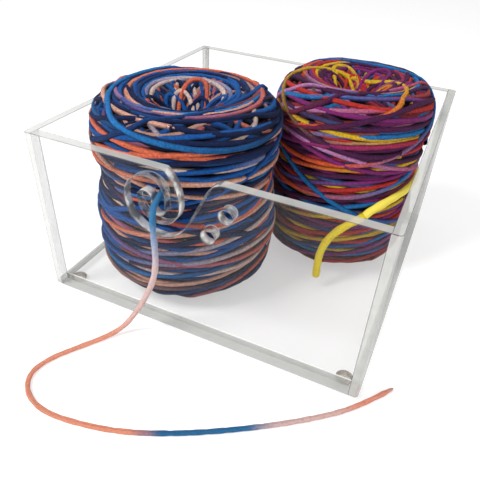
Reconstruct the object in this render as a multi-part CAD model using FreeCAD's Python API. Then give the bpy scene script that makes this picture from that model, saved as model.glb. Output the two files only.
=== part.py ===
import FreeCAD, Part
import math
import os

# Clear acrylic yarn bowl: an open square box of flat cemented panels on four bumper feet.
# Its front panel has a spiral yarn slot and two guide holes. It holds two yarn cakes, which
# lift out, and the working strand leaves the front cake through the slot.
# Millimetres, +Z up. The origin is on the table under the middle of the box, -Y is the front.

V = FreeCAD.Vector
UP = V(0, 0, 1)
THROUGH = V(0, 1, 0)
ORIGIN = V(0, 0, 0)

# ---- box ----
box_width = 200.0
box_depth = 200.0
wall_height = 104.0
side_thickness = 5.0
front_thickness = 6.0
back_thickness = 6.0
base_thickness = 5.0
corner_round = 2.2

# ---- feet ----
foot_height = 2.5
foot_top_radius = 4.8
foot_rest_radius = 3.6
foot_bulge = 0.3
foot_bulge_share = 0.4
foot_inset_x = 10.0
foot_inset_y = 11.0

# ---- spiral slot: places are from the box's left side and from the underside of the base ----
slot_width = 7.9
eye_width = 7.8
tongue_width = 8.4
slot_outer_radius = 19.0
slot_outer_x = 81.5
slot_outer_z = 83.1
slot_roof_radius = 14.5
slot_roof_z = 97.6
slot_end_z = 80.6
tip_centre_z = 85.2
tongue_turn_z = 84.3
tongue_side_radius = 24.0
tongue_side_z = 86.0
lip_slope_deg = 63.7
lip_round = 11.0
tongue_corner_round = 2.6
cutter_rise = 6.0

# ---- guide holes in the front panel ----
hole_radius = 3.9
hole_places = [(120.4, 87.4), (110.8, 72.8)]

# ---- yarn cakes: (radius, height above the base panel) up the outside, then down the hollow ----
cake_lift_gap = 0.5
blue_cake_centre = (-37.0, -36.0)
blue_cake_profile = [(49.0, 0.0), (55.6, 7.0), (57.0, 22.0), (57.0, 42.0), (55.0, 65.0),
                     (56.5, 86.0), (55.2, 104.0), (45.5, 113.5), (22.0, 110.5), (9.0, 92.0),
                     (8.0, 70.0)]
rainbow_cake_centre = (43.6, 36.4)
rainbow_cake_profile = [(43.5, 0.0), (49.0, 7.5), (50.0, 24.0), (50.0, 44.0), (48.5, 68.0),
                        (50.0, 88.0), (48.5, 106.0), (39.0, 116.0), (20.0, 113.0), (9.0, 98.0),
                        (8.0, 76.0)]

# ---- yarn ----
yarn_diameter = 3.4
loose_end_diameter = 5.0
floor_line = yarn_diameter / 2 + 0.05
# The working strand goes straight out through the spiral's eye, down to the table and round
# in one open loop across the front to its bare end beside the right corner.
strand_route = [(-16.6, -90.6, 86.2), (-17.2, -102.6, 85.6), (-16.8, -108.4, 80.2),
                (-15.8, -109.2, 70.0), (-15.4, -108.8, 56.0), (-18.0, -108.4, 41.5),
                (-23.5, -109.2, 27.0), (-30.2, -111.0, 14.0), (-36.2, -115.0, 4.4),
                (-42.0, -123.6, floor_line), (-51.0, -137.0, floor_line),
                (-59.6, -150.6, floor_line), (-62.2, -163.4, floor_line),
                (-54.0, -173.8, floor_line), (-39.0, -178.4, floor_line),
                (-18.0, -175.6, floor_line), (4.0, -169.6, floor_line),
                (29.0, -157.6, floor_line), (56.0, -140.8, floor_line),
                (81.0, -122.6, floor_line), (101.5, -104.2, floor_line),
                (115.6, -83.6, floor_line)]
# The loose end of the rainbow cake is a thicker length of yarn. It hangs down the cake's
# front and stops just above the base panel.
loose_end_route = [(71.1, -8.0, 54.0), (64.5, -14.0, 50.2), (56.5, -18.8, 43.5),
                   (51.6, -21.8, 33.5), (50.4, -23.6, 22.0), (51.4, -24.6, 10.0)]

# ---- worked out from the above ----
half_width = box_width / 2
half_depth = box_depth / 2
inner_width = box_width - 2 * side_thickness
base_bottom = foot_height
base_top = foot_height + base_thickness
rim_z = foot_height + wall_height


def panel(x, y, z, width, depth, height):
    """A flat panel with its low corner at x, y, z."""
    return Part.makeBox(width, depth, height, V(x, y, z))


def front_point(x, z):
    """A point on the outer face of the front panel, from the box's left side and underside."""
    return V(x - half_width, -half_depth, z + foot_height)


def arc_about(centre_x, centre_z, radius, start_deg, mid_deg, end_deg):
    """An arc on the front face about a centre, through three angles from +X towards +Z."""
    points = []
    for degrees in (start_deg, mid_deg, end_deg):
        angle = math.radians(degrees)
        points.append(front_point(centre_x + radius * math.cos(angle),
                                  centre_z + radius * math.sin(angle)))
    return Part.Arc(*points).toShape()


def line(start, end):
    return Part.LineSegment(start, end).toShape()


def round_edges(shape, radius, wanted):
    """Rounds the edges that the test picks out."""
    return shape.makeFillet(radius, [edge for edge in shape.Edges if wanted(edge)])


def side_panel(sign):
    """A side wall over the full depth, its two outer upright edges rounded."""
    low_x = half_width - side_thickness if sign > 0 else -half_width
    wall = panel(low_x, -half_depth, base_bottom, side_thickness, box_depth, wall_height)

    def outer_upright(edge):
        box = edge.BoundBox
        return box.ZLength > wall_height / 2 and abs(box.XMin - sign * half_width) < 0.01

    return round_edges(wall, corner_round, outer_upright)


def slot_face():
    """The spiral slot's outline on the front face, open through the rim."""
    lip_angle = math.radians(lip_slope_deg)
    outer_left = slot_outer_x - slot_outer_radius
    tongue_left = outer_left + slot_width
    eye_left = tongue_left + tongue_width
    eye_right = eye_left + eye_width
    tongue_right = eye_right + tongue_width
    eye_radius = (eye_right - eye_left) / 2
    tip_radius = tongue_width / 2
    turn_radius = (tongue_right - tongue_left) / 2
    turn_x = tongue_left + turn_radius
    roof_x = outer_left + slot_roof_radius
    brow_radius = eye_right - roof_x
    side_x = tongue_right - tongue_side_radius
    rim_angle = math.asin((wall_height - tongue_side_z) / tongue_side_radius)
    tongue_rim_x = side_x + tongue_side_radius * math.cos(rim_angle)

    above_rim = wall_height + cutter_rise
    lip_foot_x = slot_outer_x + slot_outer_radius * math.sin(lip_angle)
    lip_foot_z = slot_outer_z - slot_outer_radius * math.cos(lip_angle)
    lip_top_x = lip_foot_x + (above_rim - lip_foot_z) / math.tan(lip_angle)
    lip_deg = lip_slope_deg - 90.0

    edges = [
        line(front_point(tongue_rim_x, above_rim), front_point(tongue_rim_x, wall_height)),
        arc_about(side_x, tongue_side_z, tongue_side_radius,
                  math.degrees(rim_angle), math.degrees(rim_angle) / 2, 0.0),
        line(front_point(tongue_right, tongue_side_z), front_point(tongue_right, tongue_turn_z)),
        arc_about(turn_x, tongue_turn_z, turn_radius, 0.0, -90.0, -180.0),
        line(front_point(tongue_left, tongue_turn_z), front_point(tongue_left, tip_centre_z)),
        arc_about(tongue_left + tip_radius, tip_centre_z, tip_radius, 180.0, 90.0, 0.0),
        line(front_point(eye_left, tip_centre_z), front_point(eye_left, slot_end_z)),
        arc_about(eye_left + eye_radius, slot_end_z, eye_radius, 180.0, 270.0, 360.0),
        line(front_point(eye_right, slot_end_z), front_point(eye_right, slot_roof_z - brow_radius)),
        arc_about(roof_x, slot_roof_z - brow_radius, brow_radius, 0.0, 45.0, 90.0),
        arc_about(roof_x, slot_roof_z - slot_roof_radius, slot_roof_radius, 90.0, 135.0, 180.0),
        arc_about(slot_outer_x, slot_outer_z, slot_outer_radius, 180.0, 270.0, 360.0 + lip_deg),
        line(front_point(lip_foot_x, lip_foot_z), front_point(lip_top_x, above_rim)),
        line(front_point(lip_top_x, above_rim), front_point(tongue_rim_x, above_rim)),
    ]
    return Part.Face(Part.Wire(edges))


def front_panel():
    """The front wall between the side walls, with the spiral slot and the two guide holes."""
    wall = panel(-inner_width / 2, -half_depth, base_bottom,
                 inner_width, front_thickness, wall_height)
    wall = wall.cut(slot_face().extrude(THROUGH * front_thickness))
    for x, z in hole_places:
        start = front_point(x, z) - THROUGH
        wall = wall.cut(Part.makeCylinder(hole_radius, front_thickness + 2, start, THROUGH))

    def through_edge_at_rim(edge, low_x, high_x):
        box = edge.BoundBox
        across = box.YLength > front_thickness - 0.1 and box.XLength < 0.01
        return across and abs(box.ZMin - rim_z) < 0.01 and low_x < box.XMin < high_x

    mouth_middle = slot_outer_x + slot_outer_radius - half_width
    wall = round_edges(wall, tongue_corner_round,
                       lambda edge: through_edge_at_rim(edge, -half_width / 2, mouth_middle))
    return round_edges(wall, lip_round,
                       lambda edge: through_edge_at_rim(edge, mouth_middle, half_width / 2))


def foot(sign_x, sign_y):
    """A bumper foot, widest where it sticks to the base panel, with a flat resting face."""
    shoulder = (foot_top_radius + foot_rest_radius) / 2
    profile = Part.Wire([
        line(V(0, 0, 0), V(foot_rest_radius, 0, 0)),
        Part.Arc(V(foot_rest_radius, 0, 0),
                 V(shoulder + foot_bulge, 0, foot_height * foot_bulge_share),
                 V(foot_top_radius, 0, foot_height)).toShape(),
        line(V(foot_top_radius, 0, foot_height), V(0, 0, foot_height)),
        line(V(0, 0, foot_height), V(0, 0, 0)),
    ])
    solid = Part.Face(profile).revolve(ORIGIN, UP, 360)
    solid.translate(V(sign_x * (half_width - foot_inset_x), sign_y * (half_depth - foot_inset_y), 0))
    return solid


def yarn_cake(centre, profile):
    """A wound cake as one round solid with the hollow that its winder's spindle leaves."""
    floor_z = base_top + cake_lift_gap
    points = [V(radius, 0, floor_z + height) for radius, height in profile]
    outline = Part.BSplineCurve()
    outline.interpolate(points)
    first, last = points[0], points[-1]
    wire = Part.Wire([
        line(V(0, 0, first.z), first),
        outline.toShape(),
        line(last, V(0, 0, last.z)),
        line(V(0, 0, last.z), V(0, 0, first.z)),
    ])
    solid = Part.Face(wire).revolve(ORIGIN, UP, 360)
    solid.translate(V(centre[0], centre[1], 0))
    return solid


def yarn_tube(name, route, diameter):
    """A round tube along straight runs joined by the largest even arcs that the runs allow."""
    points = [V(*point) for point in route]
    edges = []
    radii = []
    at = points[0]
    for before, corner, after in zip(points, points[1:], points[2:]):
        back = (before - corner).normalize()
        onward = (after - corner).normalize()
        turn = math.pi - back.getAngle(onward)
        shorter = min((before - corner).Length, (after - corner).Length)
        reach = 0.45 * shorter
        radius = reach / math.tan(turn / 2)
        radii.append(round(radius, 1))
        start = corner + back * reach
        end = corner + onward * reach
        middle_way = (back + onward).normalize()
        centre = corner + middle_way * (radius / math.cos(turn / 2))
        middle = centre - middle_way * radius
        edges.append(line(at, start))
        edges.append(Part.Arc(start, middle, end).toShape())
        at = end
    edges.append(line(at, points[-1]))
    path = Part.Wire(edges)
    section = Part.Wire([Part.Circle(points[0], points[1] - points[0], diameter / 2).toShape()])
    tube = path.makePipeShell([section], True, False)
    expected = math.pi * (diameter / 2) ** 2 * path.Length
    print(name, "radii", radii, "length", round(path.Length, 1),
          "volume share", round(tube.Volume / expected, 4))
    return tube


def make_parts():
    parts = {
        "base_panel": panel(-inner_width / 2, -half_depth + front_thickness, base_bottom,
                            inner_width, box_depth - front_thickness - back_thickness,
                            base_thickness),
        "front_panel": front_panel(),
        "back_panel": panel(-inner_width / 2, half_depth - back_thickness, base_bottom,
                            inner_width, back_thickness, wall_height),
        "left_panel": side_panel(-1),
        "right_panel": side_panel(1),
        "blue_yarn_cake": yarn_cake(blue_cake_centre, blue_cake_profile),
        "rainbow_yarn_cake": yarn_cake(rainbow_cake_centre, rainbow_cake_profile),
        "working_strand": yarn_tube("working_strand", strand_route, yarn_diameter),
        "loose_yarn_end": yarn_tube("loose_yarn_end", loose_end_route,
                                    loose_end_diameter),
    }
    for row, sign_y in (("front", -1), ("back", 1)):
        for side, sign_x in (("left", -1), ("right", 1)):
            parts[f"foot_{row}_{side}"] = foot(sign_x, sign_y)
    return parts


os.makedirs("parts", exist_ok=True)
for name, shape in make_parts().items():
    shape.exportStep(f"parts/{name}.step")
    print(name, "valid", shape.isValid(), "solids", len(shape.Solids), "volume", round(shape.Volume, 1))
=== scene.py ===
import math

import bmesh
import bpy
import numpy as np
from mathutils import Matrix, Vector


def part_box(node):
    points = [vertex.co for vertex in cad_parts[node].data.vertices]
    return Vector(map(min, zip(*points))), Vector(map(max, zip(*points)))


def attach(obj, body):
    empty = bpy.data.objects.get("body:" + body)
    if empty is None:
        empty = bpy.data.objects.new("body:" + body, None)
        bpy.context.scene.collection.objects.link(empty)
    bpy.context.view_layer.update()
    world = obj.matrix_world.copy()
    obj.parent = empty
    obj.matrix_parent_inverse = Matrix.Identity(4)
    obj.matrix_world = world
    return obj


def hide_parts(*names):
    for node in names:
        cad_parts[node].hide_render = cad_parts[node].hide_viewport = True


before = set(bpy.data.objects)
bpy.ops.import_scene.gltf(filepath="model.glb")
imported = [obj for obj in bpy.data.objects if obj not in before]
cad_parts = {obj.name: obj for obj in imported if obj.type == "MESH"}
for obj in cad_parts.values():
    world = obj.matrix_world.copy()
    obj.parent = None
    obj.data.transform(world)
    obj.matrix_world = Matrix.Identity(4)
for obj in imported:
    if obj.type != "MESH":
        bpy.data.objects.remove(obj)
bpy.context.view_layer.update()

MM = 0.001
yarn_diameter = 3.4 * MM
yarn_radius = yarn_diameter / 2
loose_end_diameter = 5.0 * MM
working_length = 0.370

# ---------------------------------------------------------------- helpers


def new_object(name, data):
    piece = bpy.data.objects.new(name, data)
    bpy.context.scene.collection.objects.link(piece)
    return piece


def mesh_object(name, points, faces):
    mesh = bpy.data.meshes.new(name)
    mesh.from_pydata([tuple(p) for p in points], [], faces)
    mesh.polygons.foreach_set("use_smooth", [True] * len(mesh.polygons))
    mesh.update()
    return new_object(name, mesh)


class Nodes:
    """A small builder for node materials."""

    def __init__(self, name):
        self.material = bpy.data.materials.new(name)
        self.material.use_nodes = True
        self.tree = self.material.node_tree
        self.tree.nodes.clear()
        self.output = self.add("ShaderNodeOutputMaterial")

    def add(self, kind, links=None, **settings):
        node = self.tree.nodes.new(kind)
        for key, value in settings.items():
            if key.startswith("in_"):
                node.inputs[key[3:].replace("_", " ")].default_value = value
            else:
                setattr(node, key, value)
        for socket, source in (links or {}).items():
            self.tree.links.new(source, node.inputs[socket])
        return node

    def math(self, operation, first, second=None):
        node = self.add("ShaderNodeMath", operation=operation)
        for socket, value in zip(node.inputs, (first, second)):
            if value is None:
                continue
            if isinstance(value, (int, float)):
                socket.default_value = value
            else:
                self.tree.links.new(value, socket)
        return node.outputs[0]

    def ramp(self, factor, stops):
        node = self.add("ShaderNodeValToRGB", {"Fac": factor})
        ramp = node.color_ramp
        while len(ramp.elements) < len(stops):
            ramp.elements.new(0.5)
        for element, (place, colour) in zip(ramp.elements, stops):
            element.position = place
            element.color = (*colour, 1.0)
        return node.outputs["Color"]


# ---------------------------------------------------------------- camera and light

camera_place = Vector((0.1054, -0.2780, 0.2205))
camera_azimuth = math.radians(-23.35)
camera_elevation = math.radians(35.89)
camera_roll = math.radians(3.09)
camera_lens = 37.65


def make_camera():
    forward = Vector((math.cos(camera_elevation) * math.sin(camera_azimuth),
                      math.cos(camera_elevation) * math.cos(camera_azimuth),
                      -math.sin(camera_elevation)))
    level = Vector((math.cos(camera_azimuth), -math.sin(camera_azimuth), 0.0))
    above = level.cross(forward)
    right = level * math.cos(camera_roll) + above * math.sin(camera_roll)
    up = above * math.cos(camera_roll) - level * math.sin(camera_roll)
    data = bpy.data.cameras.new("camera")
    data.lens = camera_lens
    data.sensor_width = 36.0
    data.clip_start = 0.01
    camera = new_object("camera", data)
    camera.matrix_world = Matrix((
        (right.x, up.x, -forward.x, camera_place.x),
        (right.y, up.y, -forward.y, camera_place.y),
        (right.z, up.z, -forward.z, camera_place.z),
        (0.0, 0.0, 0.0, 1.0)))
    bpy.context.scene.camera = camera


def area_light(name, place, target, size, power):
    data = bpy.data.lights.new(name, "AREA")
    data.shape = "DISK"
    data.size = size
    data.energy = power
    lamp = new_object(name, data)
    lamp.location = place
    lamp.rotation_euler = (Vector(target) - Vector(place)).to_track_quat("-Z", "Y").to_euler()


def make_room():
    scene = bpy.context.scene
    scene.view_settings.view_transform = "Standard"
    world = bpy.data.worlds.new("studio")
    world.use_nodes = True
    background = world.node_tree.nodes["Background"]
    background.inputs["Color"].default_value = (1.0, 1.0, 1.0, 1.0)
    # The studio looks white, and lights the object more softly than it looks.
    path = world.node_tree.nodes.new("ShaderNodeLightPath")
    level = world.node_tree.nodes.new("ShaderNodeMapRange")
    level.inputs["To Min"].default_value = 0.56
    level.inputs["To Max"].default_value = 1.0
    world.node_tree.links.new(path.outputs["Is Camera Ray"], level.inputs["Value"])
    world.node_tree.links.new(level.outputs["Result"], background.inputs["Strength"])
    scene.world = world
    floor = mesh_object("floor", [(-6, -6, 0), (6, -6, 0), (6, 6, 0), (-6, 6, 0)], [(0, 1, 2, 3)])
    look = Nodes("floor_white")
    shader = look.add("ShaderNodeBsdfPrincipled", in_Roughness=0.9)
    shader.inputs["Base Color"].default_value = (0.66, 0.66, 0.66, 1.0)
    shader.inputs["Specular IOR Level"].default_value = 0.1
    shader.inputs["Emission Color"].default_value = (1.0, 1.0, 1.0, 1.0)
    shader.inputs["Emission Strength"].default_value = 0.52
    look.tree.links.new(shader.outputs[0], look.output.inputs["Surface"])
    floor.data.materials.append(look.material)
    area_light("key", (-0.40, -0.50, 0.75), (0, 0, 0.05), 0.30, 7.5)
    area_light("fill", (0.7, -0.2, 0.6), (0, 0, 0.05), 0.6, 1.4)


# ---------------------------------------------------------------- materials


def sheet_look(name, tone, share, rough, streak=0.0):
    """Clear sheet: a share of its colour over what is behind it. The tone runs in faint
    streaks along the edge where the sheet was cut and polished."""
    look = Nodes(name)
    place = look.add("ShaderNodeNewGeometry").outputs["Position"]
    stretched = look.add("ShaderNodeMapping", {"Vector": place})
    stretched.inputs["Scale"].default_value = (55.0, 55.0, 160.0)
    cloud = look.add("ShaderNodeTexNoise", {"Vector": stretched.outputs[0]}, in_Scale=1.0,
                     in_Detail=4.0, in_Roughness=0.6)
    low = tuple(c * (1 - streak) for c in tone)
    tint = look.ramp(cloud.outputs["Fac"], [(0.32, low), (0.60, tone)])
    gloss = look.add("ShaderNodeMapRange", {"Value": cloud.outputs["Fac"]})
    gloss.inputs["To Min"].default_value = rough * 0.5
    gloss.inputs["To Max"].default_value = rough * 1.5
    clear = look.add("ShaderNodeBsdfPrincipled",
                     {"Base Color": tint, "Roughness": gloss.outputs["Result"]},
                     in_IOR=1.49, in_Alpha=share)
    look.tree.links.new(clear.outputs[0], look.output.inputs["Surface"])
    return look.material


def mirror_look(name, share, low, high):
    """The polished walls of the slot and holes, which show as silver: fully where they are seen in
    air, faintly where the sheet itself lies over them. The silver and its dark and bright patches
    are painted reflection, over a half-metal surface that also reflects."""
    look = Nodes(name)
    place = look.add("ShaderNodeNewGeometry").outputs["Position"]
    wave = look.add("ShaderNodeTexNoise", {"Vector": place}, in_Scale=160.0, in_Detail=2.0)
    tint = look.ramp(wave.outputs["Fac"], [(0.40, (low, low, low)),
                                           (0.56, (high, high, high * 0.985))])
    bump = look.add("ShaderNodeBump", {"Height": wave.outputs["Fac"]}, in_Strength=0.25,
                    in_Distance=0.002)
    metal = look.add("ShaderNodeBsdfPrincipled", {"Base Color": tint, "Normal": bump.outputs[0]},
                     in_Roughness=0.14, in_Metallic=0.5, in_Alpha=share)
    look.tree.links.new(metal.outputs[0], look.output.inputs["Surface"])
    return look.material


def bumper_look():
    """Soft clear bumper: cloudier and less glossy than the sheet."""
    look = Nodes("clear_bumper")
    place = look.add("ShaderNodeNewGeometry")
    cloud = look.add("ShaderNodeTexNoise", {"Vector": place.outputs["Position"]}, in_Scale=600.0,
                     in_Detail=3.0)
    tint = look.ramp(cloud.outputs["Fac"], [(0.35, (0.34, 0.30, 0.24)),
                                            (0.65, (0.74, 0.70, 0.62))])
    soft = look.add("ShaderNodeBsdfPrincipled", {"Base Color": tint}, in_Roughness=0.18,
                    in_IOR=1.45)
    soft.inputs["Transmission Weight"].default_value = 0.35
    look.tree.links.new(soft.outputs[0], look.output.inputs["Surface"])
    return look.material


def yarn_look(name, stops, period, shift=0.02, low=0.42, high=1.85):
    """Soft wool, dyed in stretches along its length. The mesh gives the distance along the
    strand in metres as yarn_along, and the place round it as yarn_round. Its fibres darken and
    lighten the dye between low and high."""
    look = Nodes(name)
    along = look.add("ShaderNodeAttribute", attribute_name="yarn_along").outputs["Fac"]
    around = look.add("ShaderNodeAttribute", attribute_name="yarn_round").outputs["Fac"]
    place = look.add("ShaderNodeNewGeometry").outputs["Position"]
    blur = look.add("ShaderNodeTexNoise", {"Vector": place}, in_Scale=700.0, in_Detail=3.0)
    wander = look.math("MULTIPLY", look.math("SUBTRACT", blur.outputs["Fac"], 0.5), shift)
    cycle = look.math("FRACT", look.math("DIVIDE", look.math("ADD", along, wander), period))
    dye = look.ramp(cycle, stops)
    # Fibres run along the strand and wind slowly round it.
    wound = look.math("ADD", look.math("MULTIPLY", along, 420.0), around)
    fibre_place = look.add("ShaderNodeCombineXYZ", {"X": look.math("MULTIPLY", wound, 3.2),
                                                    "Y": look.math("MULTIPLY", along, 60.0),
                                                    "Z": look.math("MULTIPLY", around, 1.5)})
    fibre = look.add("ShaderNodeTexNoise", {"Vector": fibre_place.outputs[0]}, in_Scale=2.4,
                     in_Detail=4.0, in_Roughness=0.7)
    fuzz = look.add("ShaderNodeTexNoise", {"Vector": place}, in_Scale=850.0, in_Detail=3.0)
    light = look.math("ADD", look.math("MULTIPLY", fibre.outputs["Fac"], 0.75),
                      look.math("MULTIPLY", fuzz.outputs["Fac"], 0.45))
    shade = look.ramp(light, [(0.40, (low, low, low * 1.06)), (0.58, (1.12, 1.12, 1.12)),
                              (0.76, (high, high * 0.97, high * 0.95))])
    colour = look.add("ShaderNodeMix", data_type="RGBA", blend_type="MULTIPLY")
    colour.inputs[0].default_value = 1.0
    look.tree.links.new(dye, colour.inputs[6])
    look.tree.links.new(shade, colour.inputs[7])
    relief = look.math("ADD", fibre.outputs["Fac"], look.math("MULTIPLY", fuzz.outputs["Fac"], 0.6))
    bump = look.add("ShaderNodeBump", {"Height": relief}, in_Strength=1.0, in_Distance=0.0012)
    # Painted shade: the mesh of a wound strand says how far a point is down between its neighbours,
    # and how shaded its strand is, and the colour is darkened by that.
    painted_shade = look.add("ShaderNodeAttribute", attribute_name="yarn_painted_shade").outputs["Fac"]
    hollow = look.ramp(painted_shade, [(0.03, (1.0, 1.0, 1.0)), (0.26, (0.46, 0.46, 0.50)),
                             (0.52, (0.12, 0.12, 0.15)), (0.8, (0.04, 0.04, 0.05))])
    deep = look.add("ShaderNodeMix", data_type="RGBA", blend_type="MULTIPLY")
    deep.inputs[0].default_value = 1.0
    look.tree.links.new(colour.outputs[2], deep.inputs[6])
    look.tree.links.new(hollow, deep.inputs[7])
    wool = look.add("ShaderNodeBsdfPrincipled",
                    {"Base Color": deep.outputs[2], "Normal": bump.outputs["Normal"]},
                    in_Roughness=0.82)
    wool.inputs["Specular IOR Level"].default_value = 0.12
    wool.inputs["Sheen Weight"].default_value = 0.05
    wool.inputs["Sheen Roughness"].default_value = 0.5
    look.tree.links.new(wool.outputs[0], look.output.inputs["Surface"])
    return look.material


navy = (0.003, 0.013, 0.075)
royal = (0.005, 0.105, 0.400)
sky = (0.012, 0.200, 0.560)
coral = (0.84, 0.175, 0.085)
peach = (0.80, 0.42, 0.31)
pale = (0.86, 0.64, 0.54)
plum = (0.075, 0.008, 0.065)
magenta = (0.24, 0.020, 0.17)
red = (0.56, 0.030, 0.022)
orange = (0.76, 0.10, 0.03)
yellow = (0.80, 0.50, 0.02)
azure = (0.012, 0.19, 0.52)
lilac = (0.55, 0.22, 0.46)


def dye_stops(stretches, soft=0.25):
    """Colour stops from (colour, share of the cycle), each fading into the next."""
    total = sum(share for _, share in stretches)
    stops = []
    at = 0.0
    for colour, share in stretches:
        width = share / total
        stops.append((at + width * soft, colour))
        stops.append((at + width * (1 - soft), colour))
        at += width
    return stops


strand_dye = [(0.000, (0.030, 0.17, 0.38)), (0.020, (0.045, 0.23, 0.47)),
              (0.034, (0.42, 0.48, 0.66)), (0.048, (0.82, 0.62, 0.61)), (0.088, (0.84, 0.54, 0.49)),
              (0.110, (0.90, 0.36, 0.24)), (0.228, (0.90, 0.33, 0.21)),
              (0.243, (0.025, 0.15, 0.34)), (0.286, (0.03, 0.17, 0.37)),
              (0.300, (0.76, 0.52, 0.50)), (0.332, (0.84, 0.54, 0.49)),
              (0.346, (0.90, 0.34, 0.23)), (0.363, (0.90, 0.36, 0.25)), (0.370, (0.92, 0.50, 0.40))]

blue_dye = [(navy, 3), (royal, 4), (coral, 1.7), (peach, 1.2), (navy, 4), (royal, 3), (pale, 1.4),
            (royal, 3.4), (navy, 3), (coral, 1.3), (sky, 2.4), (navy, 3), (peach, 1.4)]
rainbow_dye = [(plum, 2.5), (magenta, 2), (red, 2.2), (orange, 1.0), (yellow, 1.0), (plum, 2.6),
               (azure, 1.8), (magenta, 1.6), (lilac, 1.0), (red, 2.0), (plum, 2.2), (orange, 1.4),
               (azure, 1.4), (magenta, 2.0), (yellow, 0.7)]

# ---------------------------------------------------------------- free strands

floor_line = yarn_diameter / 2 / MM + 0.05
# Route points in millimetres: the part's own, with the drop from the eye a little nearer
# the panel.
strand_route = [(-19.8, -90.4, 88.6), (-18.4, -98.0, 88.2), (-17.6, -104.6, 84.6),
                (-17.2, -105.6, 76.0), (-16.6, -106.0, 66.0), (-16.0, -106.6, 54.0),
                (-17.8, -107.4, 41.5),
                (-23.5, -109.2, 27.0), (-30.2, -111.0, 14.0), (-36.2, -115.0, 4.4),
                (-42.0, -123.6, floor_line), (-51.0, -137.0, floor_line),
                (-59.6, -150.6, floor_line), (-62.2, -163.4, floor_line),
                (-54.0, -173.8, floor_line), (-39.0, -178.4, floor_line),
                (-18.0, -175.6, floor_line), (4.0, -169.6, floor_line),
                (29.0, -157.6, floor_line), (56.0, -140.8, floor_line),
                (81.0, -122.6, floor_line), (101.5, -104.2, floor_line),
                (115.6, -83.6, floor_line)]
loose_end_route = [(71.1, -8.0, 54.0), (64.5, -14.0, 50.2), (56.5, -18.8, 43.5),
                   (51.6, -21.8, 33.5), (50.4, -23.6, 22.0), (51.4, -24.6, 10.0)]


def strand_line(name, route):
    """The points along a smooth NURBS line through a route, read back from Blender."""
    data = bpy.data.curves.new(name + "_route", "CURVE")
    data.dimensions = "3D"
    data.resolution_u = 12
    spline = data.splines.new("NURBS")
    spline.points.add(len(route) - 1)
    for point, place in zip(spline.points, route):
        point.co = (place[0] * MM, place[1] * MM, place[2] * MM, 1.0)
    spline.order_u = 3
    spline.use_endpoint_u = True
    guide = new_object(name + "_route", data)
    mesh = bpy.data.meshes.new_from_object(guide)
    line = np.array([v.co for v in mesh.vertices])
    bpy.data.objects.remove(guide)
    bpy.data.meshes.remove(mesh)
    return line


def twisted_tube(name, line, radius, material, plies=2, pitch=9.0 * MM, sides=20, frayed=0.0,
                 slim=None):
    """A plied strand along a line: the plies show as shallow grooves that wind round it.
    A frayed end thins over that length. slim is a share of the thickness that the strand
    comes down to, and where along it that starts and is reached."""
    step = np.linalg.norm(np.diff(line, axis=0), axis=1)
    run = np.concatenate([[0.0], np.cumsum(step)])
    count = int(run[-1] / (0.9 * MM))
    even = np.linspace(0, run[-1], count)
    line = np.stack([np.interp(even, run, line[:, k]) for k in range(3)], axis=1)
    tangent = np.gradient(line, axis=0)
    tangent /= np.linalg.norm(tangent, axis=1)[:, None]
    out = np.zeros_like(line)
    out[0] = np.cross(tangent[0], (0.3, 0.2, 1.0))
    for i in range(1, count):
        out[i] = out[i - 1] - tangent[i] * np.dot(out[i - 1], tangent[i])
        out[i] /= np.linalg.norm(out[i])
    out[0] /= np.linalg.norm(out[0])
    side = np.cross(tangent, out)
    size = radius * (1 + 0.03 * np.sin(even * 420) + 0.02 * np.sin(even * 1130 + 1))
    if slim:
        share, start, end = slim
        thinned = np.interp(even, (start, end), (1.0, share))
        size = size * thinned
        line[:, 2] -= radius * (1 - thinned)
    if frayed:
        left = np.clip((run[-1] - even) / frayed, 0, 1)
        size = size * (0.25 + 0.75 * np.sqrt(left))
    points, along, around = [], [], []
    for k in range(sides):
        angle = 2 * math.pi * k / sides
        wound = plies * angle - 2 * math.pi * even / pitch
        groove = 1 - 0.10 * (0.5 + 0.5 * np.cos(wound)) ** 3
        reach = (size * groove)[:, None]
        points.append(line + out * reach * math.cos(angle) + side * reach * math.sin(angle))
        along.append(even)
        around.append(np.full(count, angle))
    block = np.stack(points, axis=1).reshape(-1, 3)
    faces = []
    for i in range(count - 1):
        for k in range(sides):
            n = (k + 1) % sides
            faces.append((i * sides + k, i * sides + n, (i + 1) * sides + n, (i + 1) * sides + k))
    faces.append(tuple(range(sides))[::-1])
    faces.append(tuple((count - 1) * sides + k for k in range(sides)))
    piece = mesh_object(name, block, faces)
    for key, values in (("yarn_along", along), ("yarn_round", around)):
        layer = piece.data.attributes.new(key, "FLOAT", "POINT")
        layer.data.foreach_set("value", np.stack(values, axis=1).reshape(-1).astype(np.float32))
    piece.data.materials.append(material)
    return piece, line


def make_strands():
    """The working strand out of the spiral's eye, and the loose end of the rainbow cake."""
    # The dye's cycle is just longer than the strand, so it doesn't start again at its end.
    cycle = working_length + 0.001
    dye = [(place / cycle, colour) for place, colour in strand_dye]
    line = strand_line("working_strand", strand_route)
    working, path = twisted_tube("working_yarn_tube", line, yarn_radius,
                                 yarn_look("working_yarn", dye, cycle, shift=0.006, low=0.70,
                                           high=1.22),
                                 frayed=6 * MM, slim=(0.80, 0.07, 0.13))
    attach(working, "bowl")
    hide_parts("working_strand")
    line = strand_line("loose_end", loose_end_route)
    dye = [(0.0, (0.80, 0.60, 0.02)), (0.5, (0.84, 0.66, 0.03)), (1.0, (0.80, 0.60, 0.02))]
    loose, path = twisted_tube("yellow_yarn_tube", line, loose_end_diameter / 2,
                               yarn_look("yellow_yarn", dye, 0.07, shift=0.004, low=0.62,
                                         high=1.30),
                               pitch=13.0 * MM, frayed=1.5 * MM)
    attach(loose, "rainbow_cake")
    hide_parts("loose_yarn_end")


# ---------------------------------------------------------------- acrylic panels

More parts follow.
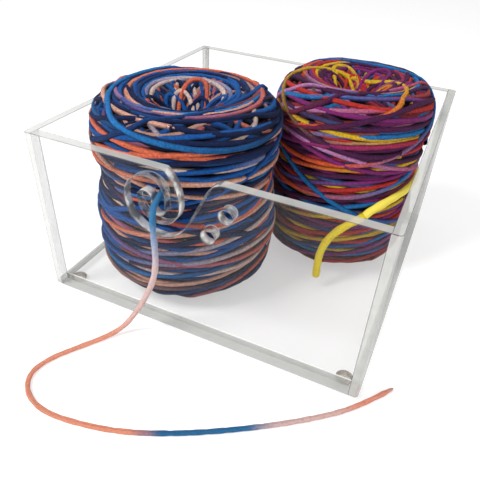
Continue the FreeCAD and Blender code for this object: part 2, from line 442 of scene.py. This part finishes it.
half_width = 100.0
half_depth = 100.0
wall_height = 104.0
side_thickness = 5.0
front_thickness = 6.0
base_bottom = 2.5
base_top = 7.5
rim_z = base_bottom + wall_height
arris = 0.35
corner_round = 2.2
hole_radius = 3.9
hole_places = ((120.4, 87.4), (110.8, 72.8))
# Arcs of the spiral slot, from the rim's tongue corner to the lip: centre from the box's left
# side and the underside of the base, radius, start and end in degrees, and steps.
slot_arcs = ((85.86, 101.4, 2.6, 90, 46, 6), (71.0, 86.0, 24.0, 46, 0, 24),
             (82.7, 84.3, 12.3, 0, -180, 60), (74.6, 85.2, 4.2, 180, 0, 30),
             (82.7, 80.6, 3.9, 180, 360, 30), (77.0, 88.0, 9.6, 0, 90, 30),
             (77.0, 83.1, 14.5, 90, 180, 40), (81.5, 83.1, 19.0, 180, 333.7, 90))
lip_arc = (119.85, 93.0, 11.0, 90, 153.7, 16)


def arc(centre_x, centre_y, radius, start_deg, end_deg, steps):
    """Points along an arc."""
    angles = np.radians(np.linspace(start_deg, end_deg, steps + 1))
    return [(centre_x + radius * math.cos(a), centre_y + radius * math.sin(a)) for a in angles]


def front_outline():
    """The front sheet's outline, cut from the rim by the spiral slot."""
    slot = []
    for number, part in enumerate(slot_arcs):
        points = arc(*part)
        slot += points[1:] if number == 1 else points
    return ([(side_thickness, 0.0), (2 * half_width - side_thickness, 0.0),
             (2 * half_width - side_thickness, wall_height)]
            + arc(*lip_arc) + slot[::-1] + [(side_thickness, wall_height)])


def sheet_piece(name, loops, thickness, rows, centre, node, broad_axis, looks):
    """A flat sheet from outlines in one plane, the arrises of its two ends just broken. rows
    are the directions of the outline's two axes and of the thickness. Its looks are chosen by
    which way each face looks."""
    data = bpy.data.curves.new(name, "CURVE")
    data.dimensions = "2D"
    data.fill_mode = "BOTH"
    data.extrude = (thickness / 2 - arris) * MM
    data.bevel_depth = arris * MM
    data.bevel_resolution = 1
    data.offset = -arris * MM
    for loop in loops:
        spline = data.splines.new("POLY")
        spline.points.add(len(loop) - 1)
        for point, place in zip(spline.points, loop):
            point.co = (place[0] * MM, place[1] * MM, 0.0, 1.0)
        spline.use_cyclic_u = True
    guide = new_object(name + "_outline", data)
    mesh = bpy.data.meshes.new_from_object(guide)
    bpy.data.objects.remove(guide)
    turn = Matrix([Vector(row) for row in rows]).transposed().to_4x4()
    mesh.transform(Matrix.Translation(Vector(centre) * MM) @ turn)
    mesh.materials.clear()
    order = list(looks)
    for key in order:
        mesh.materials.append(looks[key])
    piece = new_object(name, mesh)
    work = bmesh.new()
    work.from_mesh(mesh)
    bmesh.ops.remove_doubles(work, verts=work.verts, dist=0.002 * MM)
    bmesh.ops.recalc_face_normals(work, faces=work.faces)
    low, high = (Vector(corner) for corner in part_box(node))
    for face in work.faces:
        kind = sheet_face_kind(face, low, high, broad_axis, looks)
        face.material_index = order.index(kind)
        face.smooth = kind in ("open", "under", "corner")
    work.to_mesh(mesh)
    work.free()
    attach(piece, "bowl")
    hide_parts(node)


def sheet_face_kind(face, low, high, broad_axis, looks):
    """Which look a sheet's face takes: broad face, edge, arris, rounded corner, or the wall of
    an opening where it shows in air or under the sheet."""
    normal = face.normal
    middle = face.calc_center_median()
    if abs(normal[broad_axis]) > 0.99:
        return "face"
    if "corner" in looks and abs(normal.z) < 0.1:
        return "edge" if abs(normal.y) > 0.99 else "corner"
    if max(abs(value) for value in normal) < 0.99 and abs(normal[broad_axis]) > 0.15:
        return "low" if normal.z < -0.15 else "arris"
    if "corner" in looks and 0.15 < abs(normal.z) < 0.99:
        return "low" if normal.z < 0 else "arris"
    at_side = any(min(abs(middle[k] - low[k]), abs(middle[k] - high[k])) < 1.2 * arris * MM
                  for k in range(3) if k != broad_axis)
    if at_side or "open" not in looks:
        # Edges that face down take the darker low look: painted shade.
        return "low" if normal.z < -0.5 else "edge"
    # Walls that face up and to the right take the bright silver look and the rest the faint dark
    # one: the painted reflection is brighter on that side.
    return "open" if 0.68 * normal.x + 0.73 * normal.z > 0 else "under"


def make_panels():
    """The five cemented sheets of the bowl."""
    clear = sheet_look("acrylic_face", (0.36, 0.355, 0.345), 0.035, 0.03, 0.1)
    floor = sheet_look("acrylic_floor", (0.42, 0.41, 0.40), 0.10, 0.03, 0.15)
    edge = sheet_look("acrylic_edge", (0.54, 0.54, 0.515), 0.70, 0.10, 0.12)
    # The low edge look is the edge look made darker for edges that face down and for the base's
    # edges: painted shade.
    low = sheet_look("acrylic_low_edge_shade", (0.42, 0.43, 0.405), 0.72, 0.12, 0.12)
    # The near-white look on the base's upper arrises is a painted highlight along the top of its
    # edge.
    painted_highlight = sheet_look("acrylic_arris_highlight", (0.93, 0.93, 0.91), 0.85, 0.08, 0.05)
    # The rounded corners' lighter, clearer look is partly the sheet's own tone and partly a painted
    # highlight where the bend catches the light.
    corner = sheet_look("acrylic_corner_highlight", (0.62, 0.62, 0.60), 0.55, 0.06, 0.10)
    line = sheet_look("acrylic_arris", (0.17, 0.17, 0.165), 0.66, 0.15, 0.3)
    silver = mirror_look("acrylic_slot_open", 0.92, 0.34, 1.0)
    inner = mirror_look("acrylic_slot_under", 0.60, 0.02, 0.78)
    looks = {"face": clear, "edge": edge, "arris": line, "low": low}
    inner_half = half_width - side_thickness

    upright = ((1, 0, 0), (0, 0, 1), (0, -1, 0))
    holes = [arc(x, z, hole_radius, 0, 352.5, 47) for x, z in hole_places]
    sheet_piece("front_sheet", [front_outline()] + holes, front_thickness, upright,
                (-half_width, -half_depth + front_thickness / 2, base_bottom), "front_panel", 1,
                {**looks, "open": silver, "under": inner})

    outline = [(-inner_half, 0.0), (inner_half, 0.0), (inner_half, wall_height),
               (-inner_half, wall_height)]
    sheet_piece("back_sheet", [outline], front_thickness, upright,
                (0, half_depth - front_thickness / 2, base_bottom), "back_panel", 1, looks)

    # The side sheets' outlines are seen from above, with their outer corners rounded.
    bend = half_depth - corner_round
    outline = ([(-side_thickness, -half_depth)]
               + arc(-corner_round, -bend, corner_round, -90, 0, 8)
               + arc(-corner_round, bend, corner_round, 0, 90, 8)
               + [(-side_thickness, half_depth)])
    for name, sign in (("left", -1), ("right", 1)):
        sheet_piece(name + "_sheet", [outline], wall_height,
                    ((sign, 0, 0), (0, 1, 0), (0, 0, 1)),
                    (sign * half_width, 0.0, base_bottom + wall_height / 2), name + "_panel", 0,
                    {**looks, "corner": corner})

    inner_deep = half_depth - front_thickness
    outline = [(-inner_half, -inner_deep), (inner_half, -inner_deep), (inner_half, inner_deep),
               (-inner_half, inner_deep)]
    sheet_piece("base_sheet", [outline], base_top - base_bottom,
                ((1, 0, 0), (0, 1, 0), (0, 0, 1)), (0, 0, (base_top + base_bottom) / 2),
                "base_panel", 2, {"face": floor, "edge": low, "arris": painted_highlight, "low": low})


# ---------------------------------------------------------------- winding


class Cake:
    """A wound cake. Strands are laid turn by turn on a round core, and each rides over what is
    already there, so the pile's height is kept on a grid over the core."""

    turn_cells = 260
    path_cells = 220
    side_inset, crest_inset, hollow_inset = 7.8 * MM, 8.2 * MM, 5.4 * MM
    packing = 0.80

    def __init__(self, centre, profile, floor_z, seed):
        self.centre = np.array([centre[0] * MM, centre[1] * MM, floor_z * MM])
        self.random = np.random.default_rng(seed)
        line = self.smooth_outline(np.array(profile, float) * MM)
        ahead = np.gradient(line, axis=0)
        ahead /= np.linalg.norm(ahead, axis=1)[:, None]
        inward = np.stack([-ahead[:, 1], ahead[:, 0]], axis=1)
        far = np.concatenate([[0.0], np.cumsum(np.linalg.norm(np.diff(line, axis=0), axis=1))])
        depth = np.interp(far / far[-1], (0.0, 0.55, 0.70, 0.82, 0.96, 1.0),
                          (self.side_inset, self.side_inset, self.crest_inset,
                           self.hollow_inset, self.hollow_inset, 3.6 * MM))
        self.outline = line + inward * depth[:, None]
        self.depth = depth
        self.outward = -inward
        step = np.linalg.norm(np.diff(self.outline, axis=0), axis=1)
        self.reach = np.concatenate([[0.0], np.cumsum(step)])
        self.length = self.reach[-1]
        self.height = np.zeros((self.turn_cells, self.path_cells))
        self.laid = 0.0

    @staticmethod
    def smooth_outline(points):
        """A dense smooth line through the outline's points."""
        dense = []
        padded = np.vstack([2 * points[0] - points[1], points, 2 * points[-1] - points[-2]])
        for a, b, c, d in zip(padded, padded[1:], padded[2:], padded[3:]):
            for t in np.linspace(0, 1, 10, endpoint=False):
                dense.append(0.5 * (2 * b + (c - a) * t + (2 * a - 5 * b + 4 * c - d) * t ** 2
                                    + (3 * b - a - 3 * c + d) * t ** 3))
        dense.append(points[-1])
        return np.array(dense)

    def surface(self, turn, place):
        """Points on the core and its outward normals, at an angle and a share of the outline."""
        at = np.clip(place, 0, 1) * self.length
        radius, level, out_radius, out_level = (
            np.interp(at, self.reach, values)
            for values in (self.outline[:, 0], self.outline[:, 1],
                           self.outward[:, 0], self.outward[:, 1]))
        cos, sin = np.cos(turn), np.sin(turn)
        point = np.stack([radius * cos, radius * sin, level], axis=1)
        normal = np.stack([out_radius * cos, out_radius * sin, out_level], axis=1)
        return point, normal

    def lay(self, turn, place, share, extra=0.0, chunk=24):
        """Lays one long strand, a short run at a time, and returns how high it rides: up to a
        share of the room there is."""
        place = np.clip(place, 0.0, 1.0)
        room = np.interp(place * self.length, self.reach, self.depth)
        top_lift = share * (room - 2 * yarn_radius)
        core, _ = self.surface(turn, place)
        ring = np.maximum(np.hypot(core[:, 0], core[:, 1]), 4 * MM)
        half_place = yarn_radius / (self.length / self.path_cells)
        i_mid = np.round(turn / (2 * math.pi) * self.turn_cells).astype(int)
        j_mid = place * (self.path_cells - 1)
        reach_i = np.ceil(yarn_radius / (ring * 2 * math.pi / self.turn_cells)).astype(int)
        under = np.zeros(len(turn))
        for first in range(0, len(turn), chunk):
            run = slice(first, first + chunk)
            for shift in (-0.6, 0.0, 0.6):
                j = np.clip(np.round(j_mid[run] + shift * half_place), 0, self.path_cells - 1)
                below = self.height[i_mid[run] % self.turn_cells, j.astype(int)]
                under[run] = np.maximum(under[run], below - yarn_radius * 0.5 * abs(shift))
            under[run] = np.minimum(under[run], top_lift[run])
            for shift in np.linspace(-1, 1, 7):
                top = under[run] + 2 * yarn_radius * self.packing * math.sqrt(1.02 - shift ** 2)
                j = np.clip(np.round(j_mid[run] + shift * half_place), 0, self.path_cells - 1)
                for step in (-1, 0, 1):
                    near = np.abs(step) <= reach_i[run]
                    i = (i_mid[run] + step) % self.turn_cells
                    np.maximum.at(self.height, (i[near], j.astype(int)[near]), top[near])
        lift = under.copy()
        for _ in range(10):
            spread = np.concatenate([[lift[0]], (lift[:-2] + lift[2:]) / 2, [lift[-1]]])
            lift = np.maximum(under * 0.9, 0.45 * lift + 0.55 * spread)
        slack = 0.25 * MM * np.sin(turn * 0.371 + self.random.uniform(0, 6.28))
        return np.minimum(lift, top_lift) + slack + extra

    def strand(self, name, turn, place, material, body, slot, replaced, sides=8, share=1.0,
               thick=1.0, extra=0.0, shade=0.0, end_at=None):
        """Lays a strand and makes its mesh: a round tube, a little uneven in thickness."""
        lift = self.lay(turn, place, share, extra)
        point, normal = self.surface(turn, place)
        line = point + normal * (lift + yarn_radius)[:, None]
        count = len(line)
        if end_at is not None:
            pull = np.clip(1 - np.arange(count)[::-1] / 24.0, 0, 1) ** 2
            line = line + pull[:, None] * (np.array(end_at) - self.centre - line[-1])
        tangent = np.gradient(line, axis=0)
        tangent /= np.linalg.norm(tangent, axis=1)[:, None] + 1e-12
        out = normal - (normal * tangent).sum(1)[:, None] * tangent
        out /= np.linalg.norm(out, axis=1)[:, None] + 1e-12
        side = np.cross(tangent, out)
        step = np.linalg.norm(np.diff(line, axis=0), axis=1)
        run = np.concatenate([[0.0], np.cumsum(step)]) + self.laid
        self.laid = run[-1] + 0.4
        size = yarn_radius * thick * (0.97 + 0.05 * np.sin(run * 610)
                                      + 0.04 * np.sin(run * 233 + 1.0))
        rings = []
        for k in range(sides):
            angle = 2 * math.pi * (k + 0.5) / sides
            rings.append(line + out * (size * math.cos(angle))[:, None]
                         + side * (size * 1.04 * math.sin(angle))[:, None])
        points = np.stack(rings, axis=1).reshape(-1, 3) + self.centre
        i = np.arange(count - 1)[:, None] * sides
        k = np.arange(sides)[None, :]
        n = (k + 1) % sides
        quads = np.stack([i + k, i + n, i + sides + n, i + sides + k], axis=2).reshape(-1, 4)
        mesh = bpy.data.meshes.new(name)
        mesh.vertices.add(len(points))
        mesh.vertices.foreach_set("co", points.ravel())
        mesh.loops.add(quads.size)
        mesh.loops.foreach_set("vertex_index", quads.ravel())
        mesh.polygons.add(len(quads))
        mesh.polygons.foreach_set("loop_start", np.arange(0, quads.size, 4))
        mesh.polygons.foreach_set("use_smooth", np.ones(len(quads), bool))
        mesh.update(calc_edges=True)
        around = np.tile(2 * math.pi * (np.arange(sides) + 0.5) / sides, count)
        # Painted shade, kept in the mesh: the strand's shade darkens all of it, the yarn low down
        # between the walls is darker where less light reaches it, and each ring darkens round to
        # the side that faces in, down between its neighbours.
        painted_low_shade = 0.17 * (1 - np.clip((points[:, 2] - 12 * MM) / (68 * MM), 0, 1))
        painted_base_shade = shade + (1 - shade) * painted_low_shade
        painted_shade = painted_base_shade + (1 - painted_base_shade) * (1 - np.cos(around)) / 2
        for key, values in (("yarn_along", np.repeat(run, sides)), ("yarn_round", around),
                            ("yarn_painted_shade", painted_shade)):
            layer = mesh.attributes.new(key, "FLOAT", "POINT")
            layer.data.foreach_set("value", values.astype(np.float32))
        mesh.validate()
        mesh.materials.append(material)
        piece = new_object(name, mesh)
        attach(piece, body)
        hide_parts(replaced)
        return piece


def eased(values, at):
    """Values given turn by turn, eased from each one into the next."""
    low = np.clip(np.floor(at).astype(int), 0, len(values) - 2)
    share = np.clip(at - low, 0, 1)
    share = share * share * (3 - 2 * share)
    values = np.array(values, float)
    return values[low] * (1 - share) + values[low + 1] * share


def turns_of(middles, swings, phases, per_turn, lobes=1):
    """Angles and places of a winding, from its middle, swing and phase at each turn."""
    count = len(middles) - 1
    at = np.linspace(0, count, count * per_turn + 1)
    angle = 2 * math.pi * at
    place = eased(middles, at) + eased(swings, at) * np.sin(lobes * angle - eased(phases, at))
    return angle, place


def wind_cake(cake, material, body, slot, replaced):
    """Winds a cake: an even layer next to the core, steep turns over the crest into the
    hollow, then bundles of flatter turns round the outside."""
    chance = cake.random
    fine = 100
    pitch = 3.3 * MM / cake.length
    kind = slot.split("_")[0] + "_cake_"
    finish = (material, body, slot, replaced)

    middles = np.append(np.linspace(0.01, 0.998, int(0.985 / pitch) + 1), 1.0)
    swings = np.full(len(middles), 0.012)
    swings[-3:] = 0.0
    turn, place = turns_of(middles, swings, 0.3 * np.arange(len(middles)), 50)
    # The shade given to a winding darkens all of it: painted shade for yarn that lies under later
    # turns, most for the under winding.
    cake.strand(kind + "under_winding", turn, place, *finish, sides=6, share=0.05, shade=0.45)

    count = 34
    phases = np.cumsum(chance.normal(0.185, 0.03, count)) + chance.uniform(0, 6)
    turn, place = turns_of(0.78 + chance.normal(0, 0.01, count),
                           0.150 + chance.normal(0, 0.015, count), phases, fine)
    cake.strand(kind + "crest_winding", turn, place, *finish, sides=7, share=0.6, shade=0.12)

    up = np.arange(0.13, 0.77, pitch * 1.08)
    down = np.arange(0.735, 0.14, -pitch * 1.45)
    middles = np.concatenate([up, down]) + chance.normal(0, 0.0016, len(up) + len(down))
    swings = np.concatenate([0.020 + 0 * up, 0.048 + chance.normal(0, 0.006, len(down))])
    phases = 0.09 * np.arange(len(middles)) + chance.normal(0, 0.12, len(middles))
    turn, place = turns_of(middles, swings, phases, fine)
    cake.strand(kind + "outer_winding", turn, place, *finish, sides=8, share=0.8)

    count = 7
    phases = np.cumsum(chance.uniform(0.5, 1.9, count))
    turn, place = turns_of(0.83 + chance.normal(0, 0.025, count), chance.uniform(0.03, 0.09, count),
                           phases, fine, lobes=3)
    cake.strand(kind + "hollow_winding", turn, place, *finish, sides=7)

    count = 13
    phases = np.cumsum(chance.uniform(0.6, 2.2, count))
    turn, place = turns_of(chance.uniform(0.24, 0.75, count), chance.uniform(0.03, 0.12, count),
                           phases, fine)
    cake.strand(kind + "last_winding", turn, place, *finish, sides=8)


def wind_yellow_wrap(cake, material, end):
    """The long yellow wrap that comes round the rainbow cake and runs into its loose end."""
    left = 265.0 * np.linspace(1, 0, 160)
    turn = np.radians(-58.2 + left)
    level = (46.0 + 9.0 * (1 - np.exp(-left / 15.0)) + 0.03 * left) * MM
    side = (cake.reach > 0.16 * cake.length) & (cake.reach < 0.6 * cake.length)
    place = np.interp(level, cake.outline[side, 1], cake.reach[side]) / cake.length
    # Its shade darkens the wrap a little all over: painted shade.
    cake.strand("rainbow_cake_yellow_wrap", turn, place, material, "rainbow_cake",
                "yellow_yarn", "rainbow_yarn_cake", sides=14,
                thick=loose_end_diameter / yarn_diameter, extra=0.5 * MM, shade=0.05, end_at=end)


# ---------------------------------------------------------------- make it all

make_camera()
make_strands()
make_room()
make_panels()
bumper = bumper_look()
for node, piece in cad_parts.items():
    if node.startswith("foot_"):
        piece.data.materials.clear()
        piece.data.materials.append(bumper)

cake_floor = 8.0
blue_profile = [(12.0, 0.0), (30.0, 0.0), (49.0, 0.0), (55.6, 7.0), (57.0, 22.0), (57.0, 42.0),
                (55.2, 58.0), (52.6, 68.0), (55.2, 78.0), (56.5, 88.0), (55.2, 104.0),
                (45.5, 113.5), (22.0, 110.5), (9.0, 92.0), (8.0, 74.0), (4.5, 70.0), (0.5, 69.5)]
rainbow_profile = [(12.0, 0.0), (28.0, 0.0), (43.5, 0.0), (49.0, 7.5), (50.0, 24.0), (50.0, 44.0),
                   (48.5, 68.0), (50.0, 88.0), (48.5, 106.0), (39.0, 116.0), (20.0, 113.0),
                   (9.0, 98.0), (8.0, 80.0), (4.5, 76.0), (0.5, 75.5)]
blue_yarn = yarn_look("blue_yarn", dye_stops(blue_dye), 2.9)
rainbow_yarn = yarn_look("rainbow_yarn", dye_stops(rainbow_dye), 2.6)
wind_cake(Cake((-37.0, -36.0), blue_profile, cake_floor, 11), blue_yarn, "blue_cake",
          "blue_yarn", "blue_yarn_cake")
rainbow_cake = Cake((43.6, 36.4), rainbow_profile, cake_floor, 23)
wind_cake(rainbow_cake, rainbow_yarn, "rainbow_cake", "rainbow_yarn", "rainbow_yarn_cake")
wind_yellow_wrap(rainbow_cake, bpy.data.materials["yellow_yarn"],
                 [value * MM for value in loose_end_route[0]])
